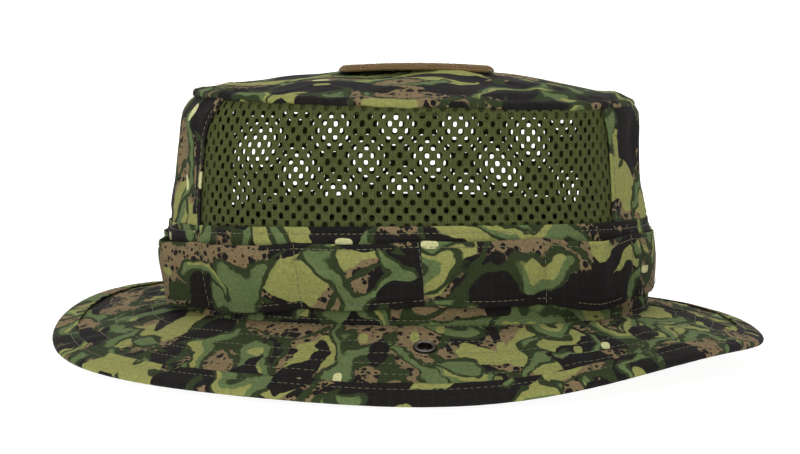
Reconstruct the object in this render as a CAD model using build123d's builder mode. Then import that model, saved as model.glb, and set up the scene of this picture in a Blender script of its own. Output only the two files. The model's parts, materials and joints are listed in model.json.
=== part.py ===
"""Boonie hat with mesh side windows, as its separate sewn pieces and metal fittings.

Millimetres, +Z up, +X to the front of the hat, +Y to the wearer's left. The origin is on the
ground under the middle of the brim, which rests on the lowest points of its rim.
"""

from build123d import *
import math
import os

os.makedirs("parts", exist_ok=True)

# Overall plan of the hat
crown_length = 209.0  # outside the crown wall at its foot, front to rear
crown_width = 176.0
brim_length = 321.0  # rim to rim, front to rear
brim_width = 287.0

# Wave of the soft brim: how far the rim hangs below the foot of the crown
rim_drop = 12.5
rim_waves = (  # waves round the rim, size, turn in degrees
    (1, 3.5, 279.0),
    (2, 4.9, 139.0),
    (3, 2.3, 279.0),
    (4, 2.9, 19.0),
    (6, 0.7, 278.0),
)
side_lift = 2.6  # the foot of the crown is this much higher at its sides than at front and rear

# Thicknesses
ply = 0.7  # one layer of the ripstop cloth
interlining = 0.8
edge_cover = 3.8  # rim strip, both its layers with the brim between them
wall = 1.0  # crown panel with its turnings
air = 0.05  # between sewn layers
sweatband_thickness = 1.6
tape = 0.8

# Heights above the foot of the crown
foliage_foot = 6.0
foliage_top = 36.0
sweatband_top = 32.0
bulge_height = 35.0  # where the crown is widest
band_top = 44.0
waist_height = 62.0
side_tape_top = 85.0
seam_height = 94.5  # top seam, at its middle
dome_rise = 12.0  # crown top above its seam
top_tape_height = 8.0
crown_tilt = 1.4  # degrees, the top seam is higher at the rear

# Growth of the crown's half length and half width over those at its foot
bulge_growth = 3.5
waist_growth = 1.0
seam_growth = -3.0

# Features
window_half_length = 88.0  # the mesh windows end here, front and rear
side_tape_width = 10.0
rim_strip = 12.7
brim_start = 0.6  # the brim's cut edge under the crown wall, out from the foot's outline
rim_fold = 1.0  # cloth of the rim strip outside the edge of the brim
foliage_loops = 12
loop_bulge = 4.0
patch_length = 68.0
patch_width = 50.0
patch_thickness = 2.3
patch_corner = 7.0
patch_forward = 3.0
eyelet_flange_radius = 5.0
eyelet_flange = 0.8
eyelet_barrel_radius = 3.1
eyelet_hole_radius = 2.5
eyelet_forward = 6.4
eyelet_share = 0.31  # of the way from the crown to the rim
washer = 0.5
rolled_edge = 0.6

half_length = crown_length / 2
half_width = crown_width / 2
brim_reach = (brim_length - crown_length) / 2
stack = interlining / 2 + air + ply  # brim's middle surface to its outer faces
brim_inner_share = brim_start / brim_reach
brim_outer_share = 1 - rim_fold / brim_reach
tall = 200.0  # past the top of the hat


def rim_hang(angle):
    """How far the rim hangs below the foot of the crown, at an angle from the front."""
    waves = (size * math.cos(math.radians(count * angle - turn)) for count, size, turn in rim_waves)
    return rim_drop + sum(waves)


foot = max(rim_hang(angle) for angle in range(360)) + edge_cover / 2  # height of the crown's foot
seam_plane = Plane.XY.offset(foot + seam_height).rotated((0, crown_tilt, 0))


def brim_point(share, angle):
    """A point of the brim's middle surface, at a share of the way from the crown to the rim."""
    c = math.cos(math.radians(angle))
    s = math.sin(math.radians(angle))
    near_height = foot + side_lift * s * s
    rim_height = foot - rim_hang(angle)
    x = (half_length + share * brim_reach) * c
    y = (half_width + share * (brim_width / 2 - half_width)) * s
    return Vector(x, y, near_height + share * (rim_height - near_height))


def brim_line(share, start_angle):
    """Half a turn of the brim's middle surface, at one share of its width."""
    steps = 16
    angles = [start_angle + step * 180 / steps for step in range(steps + 1)]
    return Edge.make_spline([brim_point(share, angle) for angle in angles], parameters=angles)


def brim_slab(first_share, last_share, low, high, start_angle):
    """Half of a layer of the brim, from low to high about its middle surface."""
    inner = brim_line(first_share, start_angle)
    outer = brim_line(last_share, start_angle)
    surface = Face.make_surface_from_curves(inner, outer)
    with BuildPart() as slab:
        extrude(surface.moved(Location((0, 0, low))), amount=high - low, dir=(0, 0, 1))
    return slab.part


def above_brim(low):
    """The space inside and over the brim, which gives the crown's pieces a foot that fits it."""
    with BuildPart() as space:
        for start_angle in (0, 180):
            add(brim_slab(-0.9, 0.4, low, tall, start_angle))
    return space.part


def crown_body(growth):
    """The closed shape of the crown from below its foot to the top seam, grown all round."""
    sections = (
        (Plane.XY.offset(foot - 4), 0),
        (Plane.XY.offset(foot + bulge_height), bulge_growth),
        (Plane.XY.offset(foot + waist_height), waist_growth),
        (seam_plane, seam_growth),
    )
    with BuildPart() as body:
        for plane, extra in sections:
            with BuildSketch(plane):
                Ellipse(half_length + growth + extra, half_width + growth + extra)
        loft()
    return body.part


def crown_layer(outer_growth, inner_growth):
    """A ring of cloth that follows the crown between two growths."""
    with BuildPart() as layer:
        add(crown_body(outer_growth))
        add(crown_body(inner_growth), mode=Mode.SUBTRACT)
    return layer.part


def plan_block(x_low, x_high, y_low, y_high, z_low, z_high):
    """A block over a rectangle of the plan, between two heights above the crown's foot."""
    with BuildPart() as block:
        with BuildSketch(Plane.XY.offset(foot + z_low)):
            with Locations(((x_low + x_high) / 2, (y_low + y_high) / 2)):
                Rectangle(x_high - x_low, y_high - y_low)
        extrude(amount=z_high - z_low)
    return block.part


def dome(growth):
    """The cap over the top seam, grown outwards, as a solid with an oval foot."""
    with BuildPart() as cap:
        for reach in (1, 0.85, 0.65, 0.4, 0.12):
            height = (dome_rise + growth) * (1 - reach**2)
            with BuildSketch(seam_plane.offset(height)):
                Ellipse(
                    reach * (half_length + seam_growth + growth),
                    reach * (half_width + seam_growth + growth),
                )
        loft()
    return cap.part


def foliage_outline(growth):
    """The outline of the foliage band: sewn down between its loops, which stand off in arcs."""
    a = half_length + growth
    b = half_width + growth
    with BuildLine() as outline:
        sewn = EllipticalCenterArc((0, 0), a, b, 0, arc_size=360, mode=Mode.PRIVATE)
        crest = EllipticalCenterArc(
            (0, 0), a + loop_bulge, b + loop_bulge, 0, arc_size=360, mode=Mode.PRIVATE
        )
        for loop in range(foliage_loops):
            first = sewn @ (loop / foliage_loops)
            middle = crest @ ((loop + 0.5) / foliage_loops)
            last = sewn @ ((loop + 1) % foliage_loops / foliage_loops)
            ThreePointArc(first, middle, last)
    return outline.wires()


def eyelet_plane(side):
    """The plane of the brim's middle surface at an eyelet, with its normal up; side is 1 or -1."""
    reach = half_length + eyelet_share * brim_reach
    angle = side * math.degrees(math.acos(eyelet_forward / reach))
    out = brim_point(1, angle) - brim_point(0, angle)
    along = brim_point(eyelet_share, angle + 1) - brim_point(eyelet_share, angle - 1)
    return Plane(brim_point(eyelet_share, angle), x_dir=out, z_dir=out.cross(along))


def finish(piece, name):
    """Labels a piece and writes it."""
    piece.label = name
    export_step(piece, f"parts/{name}.step")


# Crown wall: front and rear cloth panels with a mesh panel on each side
with BuildPart() as crown_wall:
    add(crown_layer(0, -wall))
    add(above_brim(stack + air), mode=Mode.INTERSECT)

far = brim_length
panels = {
    "crown_front_panel": (window_half_length, far, -far, far),
    "crown_rear_panel": (-far, -window_half_length, -far, far),
    "mesh_panel_left": (-window_half_length, window_half_length, 0, far),
    "mesh_panel_right": (-window_half_length, window_half_length, -far, 0),
}
for name, plan in panels.items():
    with BuildPart() as panel:
        add(crown_wall.part)
        add(plan_block(*plan, -foot, tall), mode=Mode.INTERSECT)
    finish(panel.part, name)

# Crown top, with its patch of loop tape
with BuildPart() as crown_top_panel:
    add(dome(0))
    add(dome(-wall), mode=Mode.SUBTRACT)
finish(crown_top_panel.part, "crown_top_panel")

with BuildPart() as loop_patch:
    with BuildSketch(Plane.XY.offset(foot + seam_height)):
        with Locations((patch_forward, 0)):
            RectangleRounded(patch_length, patch_width, patch_corner)
    extrude(amount=tall)
    add(dome(air + patch_thickness), mode=Mode.INTERSECT)
    add(dome(air), mode=Mode.SUBTRACT)
finish(loop_patch.part, "loop_patch")

# Bands round the foot of the crown
with BuildPart() as base_band:
    add(crown_layer(air + wall, air))
    add(above_brim(stack + air), mode=Mode.INTERSECT)
    add(plan_block(-far, far, -far, far, -foot, band_top), mode=Mode.INTERSECT)
finish(base_band.part, "base_band")

foliage_growth = bulge_growth + 2 * (air + wall)
with BuildPart() as foliage_band:
    with BuildSketch(Plane.XY.offset(foot + foliage_foot)):
        make_face(foliage_outline(foliage_growth + wall))
        make_face(foliage_outline(foliage_growth), mode=Mode.SUBTRACT)
    extrude(amount=foliage_top - foliage_foot)
finish(foliage_band.part, "foliage_band")

# Inside the crown: sweatband, and tapes over the seams
inside = -wall - air
with BuildPart() as sweatband:
    add(crown_layer(inside, inside - sweatband_thickness))
    add(above_brim(-stack), mode=Mode.INTERSECT)
    add(plan_block(-far, far, -far, far, -foot, sweatband_top), mode=Mode.INTERSECT)
finish(sweatband.part, "sweatband")

with BuildPart() as top_seam_tape:
    with BuildSketch(seam_plane):
        Rectangle(brim_length, brim_width)
    extrude(amount=-top_tape_height)
    add(crown_layer(inside, inside - tape), mode=Mode.INTERSECT)
finish(top_seam_tape.part, "top_seam_tape")

tape_plans = {
    "front_left_seam_tape": (1, 0, far),
    "front_right_seam_tape": (1, -far, 0),
    "rear_left_seam_tape": (-1, 0, far),
    "rear_right_seam_tape": (-1, -far, 0),
}
for name, (end, y_low, y_high) in tape_plans.items():
    middle = end * window_half_length
    x_low = middle - side_tape_width / 2
    x_high = middle + side_tape_width / 2
    with BuildPart() as seam_tape:
        add(crown_layer(inside, inside - tape))
        add(
            plan_block(x_low, x_high, y_low, y_high, sweatband_top + air, side_tape_top),
            mode=Mode.INTERSECT,
        )
    finish(seam_tape.part, name)

# Brim: cloth above and below a stiff interlining, each in a left and a right half
layers = {
    "brim_top": (interlining / 2 + air, stack),
    "brim_interlining": (-interlining / 2, interlining / 2),
    "brim_under": (-stack, -interlining / 2 - air),
}
halves = {"left": (0, 1), "right": (180, -1)}
for half, (start_angle, side) in halves.items():
    for layer, (low, high) in layers.items():
        with BuildPart() as brim_piece:
            add(brim_slab(brim_inner_share, brim_outer_share, low, high, start_angle))
            with Locations(eyelet_plane(side).location):
                Cylinder(eyelet_barrel_radius + air, 8 * stack, mode=Mode.SUBTRACT)
        finish(brim_piece.part, f"{layer}_{half}")

with BuildPart() as brim_binding:
    for start_angle, _ in halves.values():
        add(brim_slab(1 - rim_strip / brim_reach, 1, -edge_cover / 2, edge_cover / 2, start_angle))
    for start_angle, _ in halves.values():
        add(
            brim_slab(0.5, brim_outer_share, -stack - air, stack + air, start_angle),
            mode=Mode.SUBTRACT,
        )
finish(brim_binding.part, "brim_binding")

# Eyelets through the brim, each set over a washer
for half, (_, side) in halves.items():
    middle = eyelet_plane(side)
    barrel_low = -stack - washer - rolled_edge
    barrel_high = stack + eyelet_flange
    with BuildPart(middle) as eyelet:
        with Locations((0, 0, barrel_low)):
            Cylinder(
                eyelet_barrel_radius,
                barrel_high - barrel_low,
                align=(Align.CENTER, Align.CENTER, Align.MIN),
            )
            Cylinder(
                eyelet_barrel_radius + 1,
                rolled_edge,
                align=(Align.CENTER, Align.CENTER, Align.MIN),
            )
        with Locations((0, 0, stack)):
            Cylinder(
                eyelet_flange_radius,
                eyelet_flange,
                align=(Align.CENTER, Align.CENTER, Align.MIN),
            )
        Cylinder(eyelet_hole_radius, 8 * stack, mode=Mode.SUBTRACT)
        flange_edges = eyelet.edges().filter_by(GeomType.CIRCLE).sort_by(SortBy.RADIUS)[-2:]
        fillet(flange_edges, eyelet_flange / 3)
    finish(eyelet.part, f"eyelet_{half}")

    with BuildPart(middle) as eyelet_washer:
        with Locations((0, 0, -stack - washer)):
            Cylinder(
                eyelet_flange_radius,
                washer,
                align=(Align.CENTER, Align.CENTER, Align.MIN),
            )
        Cylinder(eyelet_barrel_radius + air, 8 * stack, mode=Mode.SUBTRACT)
    finish(eyelet_washer.part, f"eyelet_washer_{half}")
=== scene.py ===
import json
import math

import bpy
import numpy as np
from mathutils import Matrix, Vector


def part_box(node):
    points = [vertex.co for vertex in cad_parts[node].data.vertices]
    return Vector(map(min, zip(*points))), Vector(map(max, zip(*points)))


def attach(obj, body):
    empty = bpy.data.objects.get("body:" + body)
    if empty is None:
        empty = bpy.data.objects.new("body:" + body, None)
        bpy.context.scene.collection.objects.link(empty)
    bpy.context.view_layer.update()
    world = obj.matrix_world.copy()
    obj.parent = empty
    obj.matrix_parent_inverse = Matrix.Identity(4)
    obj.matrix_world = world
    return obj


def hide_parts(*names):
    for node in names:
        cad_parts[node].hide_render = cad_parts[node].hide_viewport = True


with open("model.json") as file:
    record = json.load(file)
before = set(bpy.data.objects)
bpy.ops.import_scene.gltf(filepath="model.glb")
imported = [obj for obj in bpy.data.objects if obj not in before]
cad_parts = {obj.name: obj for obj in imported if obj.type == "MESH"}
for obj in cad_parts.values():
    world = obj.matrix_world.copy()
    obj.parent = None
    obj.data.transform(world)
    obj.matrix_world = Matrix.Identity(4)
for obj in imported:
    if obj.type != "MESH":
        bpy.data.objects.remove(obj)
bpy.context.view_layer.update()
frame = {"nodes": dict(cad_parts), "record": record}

# Boonie hat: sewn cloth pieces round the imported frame. Metres, +Z up, +X front, camera on -Y.
MM = 0.001
TURN = 2 * math.pi

# ------------------------------------------------------------------ sizes, from the frame
RIM_X, RIM_Y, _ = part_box("brim_binding")[1]
BAND_HEIGHT = 44 * MM
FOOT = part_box("base_band")[1].z - BAND_HEIGHT  # height where the crown meets the brim
BULGE = 3.5 * MM
FOOT_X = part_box("crown_front_panel")[1].x - BULGE
FOOT_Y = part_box("mesh_panel_left")[1].y - BULGE
EYELETS = [m for m in frame["record"]["mounts"] if m["kind"] == "bore"]

# Heights above the foot, and sizes that the frame doesn't give
SEAM_HEIGHT = 94.5 * MM
CROWN_TILT = math.radians(1.0)
DOME_RISE = 12 * MM
SIDE_LIFT = 2.6 * MM
RIM_DROP = 12.5 * MM
# Waves round the rim: how many, their size in mm, and where in degrees. Then single dips in
# it: their depth in mm, how narrow they are, and where.
RIM_WAVES = ((1, 3.5, 279), (2, 4.9, 139), (3, 2.3, 279), (4, 2.9, 19), (6, 0.7, 278))
RIM_DIPS = ((2.2, 11, 139), (-1.6, 16, 171), (1.2, 16, -163), (-1.7, 8, -31), (1.5, 14, 36))
STRIP = 12.2 * MM
BRIM_ROWS = (2.2, 14.5, 23.5, 31.5, 39.5)  # stitch rows, mm from the crown
CLOTH = 0.7 * MM
LOOPS = 12
LOOP_START = 4 * MM  # the stitch row nearest the middle of the side is this far forward

rng = np.random.default_rng(11)


# ------------------------------------------------------------------ curves and ripples
def smooth_curve(stations):
    """A smooth function through (x, y) stations, level beyond the ends."""
    xs = np.array([s[0] for s in stations], float)
    ys = np.array([s[1] for s in stations], float)
    slopes = np.gradient(ys, xs)

    def curve(x):
        x = np.clip(x, xs[0], xs[-1])
        i = np.clip(np.searchsorted(xs, x) - 1, 0, len(xs) - 2)
        step = xs[i + 1] - xs[i]
        f = (x - xs[i]) / step
        a = (1 + 2 * f) * (1 - f) ** 2 * ys[i] + f**2 * (3 - 2 * f) * ys[i + 1]
        return a + step * f * (1 - f) * ((1 - f) * slopes[i] - f * slopes[i + 1])

    return curve


def ripple(seed, wavelength, count=9):
    """A smooth random field of two coordinates, about -1 to 1, the same on every run."""
    r = np.random.default_rng(seed)
    angle = r.uniform(0, TURN, count)
    size = TURN / wavelength * r.uniform(0.6, 1.5, count)
    phase = r.uniform(0, TURN, count)

    def field(u, v):
        total = 0
        for a, k, p in zip(angle, size, phase):
            total = total + np.sin(k * (u * math.cos(a) + v * math.sin(a)) + p)
        return total / math.sqrt(count)

    return field


def unit(v):
    return v / np.maximum(np.linalg.norm(v, axis=-1, keepdims=True), 1e-12)


def normals_of(P, wrap=False):
    """Unit normals of a grid of points; wrap joins its first and last rows."""
    if wrap:
        du = np.roll(P, -1, 0) - np.roll(P, 1, 0)
    else:
        du = np.gradient(P, axis=0)
    return unit(np.cross(du, np.gradient(P, axis=1)))


def lengths(P):
    """Length along a line of points, from its first one."""
    return np.concatenate([[0], np.cumsum(np.linalg.norm(np.diff(P, axis=0), axis=1))])


def points_along(P, arc, at):
    """Points at the lengths in at, on a line of points whose own lengths are arc."""
    return points(*(np.interp(at, arc, axis) for axis in P.T))


def bump_at(x, middle, width):
    return np.exp(-(((x - middle) / width) ** 2))


def smooth_step(x):
    x = np.clip(x, 0, 1)
    return x * x * (3 - 2 * x)


def points(*axes):
    """Coordinates side by side, each of them spread to the same grid."""
    return np.stack(np.broadcast_arrays(*axes), -1)


# ------------------------------------------------------------------ shape of the hat
# Growth of the crown over its foot, and where its middle lies, by height, all in mm
SIDE_LOW = ((-6, -0.6), (0, -0.3), (15, 1.6), (33, 3.0), (52, 0.6))
SIDE_HIGH = ((75, -2.0), (88, -3.1), (94.5, -4.7), (106, -6))
MIDDLE_LOW = ((-6, 3.0), (0, 2.8), (33, 0.6), (52, -0.5))
MIDDLE_HIGH = ((64, -0.7), (80, 0.0), (94.5, 1.0), (106, 1.4))
growth_by_height = smooth_curve(SIDE_LOW + SIDE_HIGH)
middle_by_height = smooth_curve(MIDDLE_LOW + MIDDLE_HIGH)
TOP_MIDDLE = middle_by_height(SEAM_HEIGHT / MM) * MM
TOP_GROWTH = growth_by_height(SEAM_HEIGHT / MM) * MM


def rim_hang(t):
    waves = sum(size * np.cos(n * t - math.radians(turn)) for n, size, turn in RIM_WAVES)
    near = [(depth, narrow, np.cos(t - math.radians(turn))) for depth, narrow, turn in RIM_DIPS]
    dips = sum(depth * np.exp(narrow * (nearness - 1)) for depth, narrow, nearness in near)
    return RIM_DROP + (waves + dips) * MM


def crown(t, h, out=0.0):
    """A point of the crown's side at angle t, h metres over its foot and out from its wall."""
    # The top seam is pulled in at the rear and the front, over the last 9 mm below it
    near_seam = np.clip((h / MM - 86) / 9, 0, 1)
    ends = np.where(np.cos(t) < 0, 3.2, 1.3) * np.cos(t) ** 4 * near_seam**2
    g = (growth_by_height(h / MM) - ends) * MM + out
    x = middle_by_height(h / MM) * MM + (FOOT_X + g) * np.cos(t)
    y = (FOOT_Y + g) * np.sin(t)
    z = FOOT + h + SIDE_LIFT * np.sin(t) ** 2 * np.clip(1 - h / (40 * MM), 0, 1)
    return points(x, y, z)


def seam_height(t):
    """Height of the top seam over the foot: it's higher at the rear."""
    return SEAM_HEIGHT - np.cos(t) * FOOT_X * math.tan(CROWN_TILT)


def brim(t, s):
    """A point of the brim's middle surface, at a share s of its width."""
    inner = crown(t, 0.0 * t)
    outer = points(RIM_X * np.cos(t), RIM_Y * np.sin(t), FOOT - rim_hang(t))
    return inner + np.expand_dims(s, -1) * (outer - inner)


def even_angles(point_of, t0, t1, step):
    """Angles spaced evenly along a line of the hat, and how far along it they lie."""
    fine = np.linspace(t0, t1, 1200)
    length = lengths(point_of(fine))
    count = max(3, int(round(length[-1] / step)) + 1)
    at = np.linspace(0, length[-1], count)
    return np.interp(at, length, fine), at


def even_ring(point_of, step):
    """The same once round the hat, in columns, without the end; and the whole length."""
    t, arc = even_angles(point_of, 0, TURN, step)
    return t[:-1, None], arc[:-1, None], arc[-1]


# ------------------------------------------------------------------ mesh building
def linked(name, data):
    """A new object in the scene."""
    ob = bpy.data.objects.new(name, data)
    bpy.context.scene.collection.objects.link(ob)
    return ob


def new_object(name, verts, faces, uvs=None, around=0.0):
    """uvs is one (u, v) per vertex, in metres of cloth.

    around is the length of a piece that closes on itself: a face that joins its end to its
    start gets that much more u at the start's corners.
    """
    mesh = bpy.data.meshes.new(name)
    mesh.from_pydata(np.asarray(verts, float).tolist(), [], [list(map(int, f)) for f in faces])
    if uvs is not None:
        layer = mesh.uv_layers.new(name="cloth")
        corner = np.empty(len(mesh.loops), np.int32)
        mesh.loops.foreach_get("vertex_index", corner)
        uv = np.asarray(uvs, float)[corner]
        if around:
            first = np.array([p.loop_start for p in mesh.polygons])
            span = np.maximum.reduceat(corner, first) - np.minimum.reduceat(corner, first)
            joins = np.repeat(span > len(verts) / 2, [p.loop_total for p in mesh.polygons])
            uv[joins & (corner < len(verts) / 2), 0] += around
        layer.data.foreach_set("uv", uv.ravel())
    mesh.polygons.foreach_set("use_smooth", [True] * len(mesh.polygons))
    mesh.update()
    return linked(name, mesh)


def shell(name, P, UV, thickness, wrap=False, around=0.0, holes=None, bulge=0.25):
    """A closed sheet of cloth about a grid of points, with round edges.

    wrap joins the first and last rows. holes marks quads that are cut out.
    """
    N = normals_of(P, wrap)
    rows, cols = P.shape[:2]
    half = thickness / 2
    far_edge = P[:, -1:] + unit(P[:, -1:] - P[:, -2:-1]) * thickness * bulge
    near_edge = P[:, :1] + unit(P[:, :1] - P[:, 1:2]) * thickness * bulge
    # Each row of points goes out along the front, round the edge and home along the back
    V = np.concatenate([P + N * half, far_edge, (P - N * half)[:, ::-1], near_edge], axis=1)
    T = np.concatenate([UV, UV[:, -1:], UV[:, ::-1], UV[:, :1]], axis=1)
    ring_size = V.shape[1]
    index = np.arange(rows * ring_size).reshape(rows, ring_size)
    faces = []
    steps = rows if wrap else rows - 1
    cut = np.zeros((steps, cols - 1), bool) if holes is None else holes
    for i in range(steps):
        k = (i + 1) % rows
        for j in range(ring_size):
            m = (j + 1) % ring_size
            column = j if j < cols else 2 * cols - 1 - j
            if 0 <= column < cols - 1 and cut[i, column]:
                continue
            faces.append((index[i, j], index[k, j], index[k, m], index[i, m]))
    # The walls of the holes, where a cut quad's neighbour stays
    for i, j in zip(*np.nonzero(cut)):
        k = (i + 1) % rows
        sides = (
            (i, j, i, j + 1, i > 0 and cut[i - 1, j]),
            (k, j + 1, k, j, i + 1 < steps and cut[i + 1, j]),
            (i, j + 1, k, j + 1, j + 1 < cols - 1 and cut[i, j + 1]),
            (k, j, i, j, j > 0 and cut[i, j - 1]),
        )
        for a, b, c, d, inside in sides:
            if not inside:
                back = index[c, 2 * cols - d], index[a, 2 * cols - b]
                faces.append((index[a, b], index[c, d], *back))
    if not wrap:
        for i, turn in ((0, 1), (rows - 1, -1)):
            ring = [index[i, j] for j in range(ring_size)]
            for j in range(cols - 1):
                quad = (ring[j], ring[j + 1], ring[2 * cols - j - 1], ring[2 * cols - j])
                faces.append(quad[::turn])
            faces.append((ring[cols - 1], ring[cols], ring[cols + 1])[::turn])
            faces.append((ring[2 * cols], ring[2 * cols + 1], ring[0])[::turn])
    return new_object(name, V.reshape(-1, 3), faces, T.reshape(-1, 2), around)


def ring_faces(rings, sides, closed):
    """Faces between rings of points; closed joins the last ring to the first."""
    index = np.arange(rings * sides).reshape(rings, sides)
    faces = []
    for i in range(rings if closed else rings - 1):
        k = (i + 1) % rings
        for j in range(sides):
            m = (j + 1) % sides
            faces.append((index[i, j], index[i, m], index[k, m], index[k, j]))
    return faces


def swept_ring(name, section, UV=None, around=0.0):
    """A closed cross-section, section[row, point], swept once round an axis."""
    faces = ring_faces(*section.shape[:2], closed=True)
    uvs = None if UV is None else UV.reshape(-1, 2)
    return new_object(name, section.reshape(-1, 3), faces, uvs, around)


def tubes(name, V, rings, sides):
    """Many closed tubes alike, each with so many rings of so many sides."""
    each = rings * sides
    tube = ring_faces(rings, sides, closed=False)
    tube += [tuple(reversed(range(sides))), tuple(range(each - sides, each))]
    faces = []
    for start in range(0, len(V), each):
        faces += [tuple(start + n for n in face) for face in tube]
    return new_object(name, V, faces)


STITCH_PITCH = 2.7 * MM
STITCH_LENGTH = 2.15 * MM


def stitches(name, runs, radius=0.17 * MM):
    """Thread: one small rounded bar for each stitch of each run, (points, normals)."""
    sides = 5
    along = np.array([-1.0, -0.72, 0.0, 0.72, 1.0])
    fat = np.array([0.25, 0.85, 1.0, 0.85, 0.25])
    lift = np.array([-0.9, 0.1, 0.35, 0.1, -0.9])
    ring = np.linspace(0, TURN, sides, endpoint=False)
    verts = []
    for P, N in runs:
        arc = lengths(P)
        count = int(arc[-1] / STITCH_PITCH)
        if count < 1:
            continue
        at = (np.arange(count) + 0.5) * arc[-1] / count
        at = at + rng.normal(0, 0.05 * STITCH_PITCH, count)
        long = STITCH_LENGTH * rng.uniform(0.88, 1.08, count)
        spots = at[:, None] + along[None, :] * long[:, None] / 2
        C = points_along(P, arc, spots)
        M = unit(points_along(N, arc, spots))
        T = unit(np.gradient(C, axis=1))
        B = np.cross(T, M)
        C = C + M * (lift * radius)[None, :, None]
        C = C + B * (rng.normal(0, 0.12 * radius, count))[:, None, None]
        r = (fat * radius)[None, :, None, None]
        circle = M[:, :, None] * np.sin(ring)[:, None] * 0.8 + B[:, :, None] * np.cos(ring)[:, None]
        verts.append((C[:, :, None] + r * circle).reshape(-1, 3))
    return tubes(name, np.concatenate(verts), len(along), sides)


SETTLE_FRAMES = 16


def settle(P, sewn, spare, wrap=False, gravity=0.15, cap=1.2 * MM):
    """Lets a grid of cloth find its own shape with the cloth solver, and returns the new grid.

    sewn marks the points that stay. spare is the share of extra cloth between them. cap is as
    far as a point may move.
    """
    rows, cols = P.shape[:2]
    some_rows = np.arange(0, rows, 2)
    some_cols = np.unique(np.append(np.arange(0, cols, 2), cols - 1))
    coarse = P[np.ix_(some_rows, some_cols)]
    count = coarse.shape[:2]
    index = np.arange(count[0] * count[1]).reshape(count)
    faces = []
    for i in range(count[0] if wrap else count[0] - 1):
        k = (i + 1) % count[0]
        for j in range(count[1] - 1):
            faces.append((index[i, j], index[k, j], index[k, j + 1], index[i, j + 1]))
    ob = new_object("settling", coarse.reshape(-1, 3), faces)
    group = ob.vertex_groups.new(name="sewn")
    held = index[np.broadcast_to(sewn, (rows, cols))[np.ix_(some_rows, some_cols)]]
    group.add([int(v) for v in held], 1.0, "REPLACE")
    cloth = ob.modifiers.new("cloth", "CLOTH")
    made_of = cloth.settings
    made_of.quality = 8
    made_of.mass = 0.02
    made_of.tension_stiffness = 30
    made_of.compression_stiffness = 30
    made_of.shear_stiffness = 12
    made_of.bending_stiffness = 0.6
    made_of.vertex_group_mass = "sewn"
    made_of.shrink_min = -spare
    made_of.effector_weights.gravity = gravity
    cloth.collision_settings.use_collision = False
    cloth.point_cache.frame_start = 1
    cloth.point_cache.frame_end = SETTLE_FRAMES
    for frame_number in range(1, SETTLE_FRAMES + 1):
        bpy.context.scene.frame_set(frame_number)
    settled = ob.evaluated_get(bpy.context.evaluated_depsgraph_get()).data
    moved = np.empty(len(settled.vertices) * 3)
    settled.vertices.foreach_get("co", moved)
    shift = moved.reshape(coarse.shape) - coarse
    far = np.linalg.norm(shift, axis=-1, keepdims=True)
    shift = shift * np.tanh(far / cap) * cap / np.maximum(far, 1e-9)
    mesh = ob.data
    bpy.data.objects.remove(ob)
    bpy.data.meshes.remove(mesh)
    bpy.context.scene.frame_set(1)
    # Back to the full grid, rows first
    if wrap:
        shift = np.concatenate([shift, shift[:1]])
        some_rows = np.append(some_rows, rows)
    at = np.interp(np.arange(rows), some_rows, np.arange(len(some_rows)))
    low = np.minimum(at.astype(int), len(shift) - 2)
    part = (at - low)[:, None, None]
    shift = shift[low] * (1 - part) + shift[low + 1] * part
    at = np.interp(np.arange(cols), some_cols, np.arange(len(some_cols)))
    low = np.minimum(at.astype(int), len(some_cols) - 2)
    part = (at - low)[None, :, None]
    return P + shift[:, low] * (1 - part) + shift[:, low + 1] * part


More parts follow.
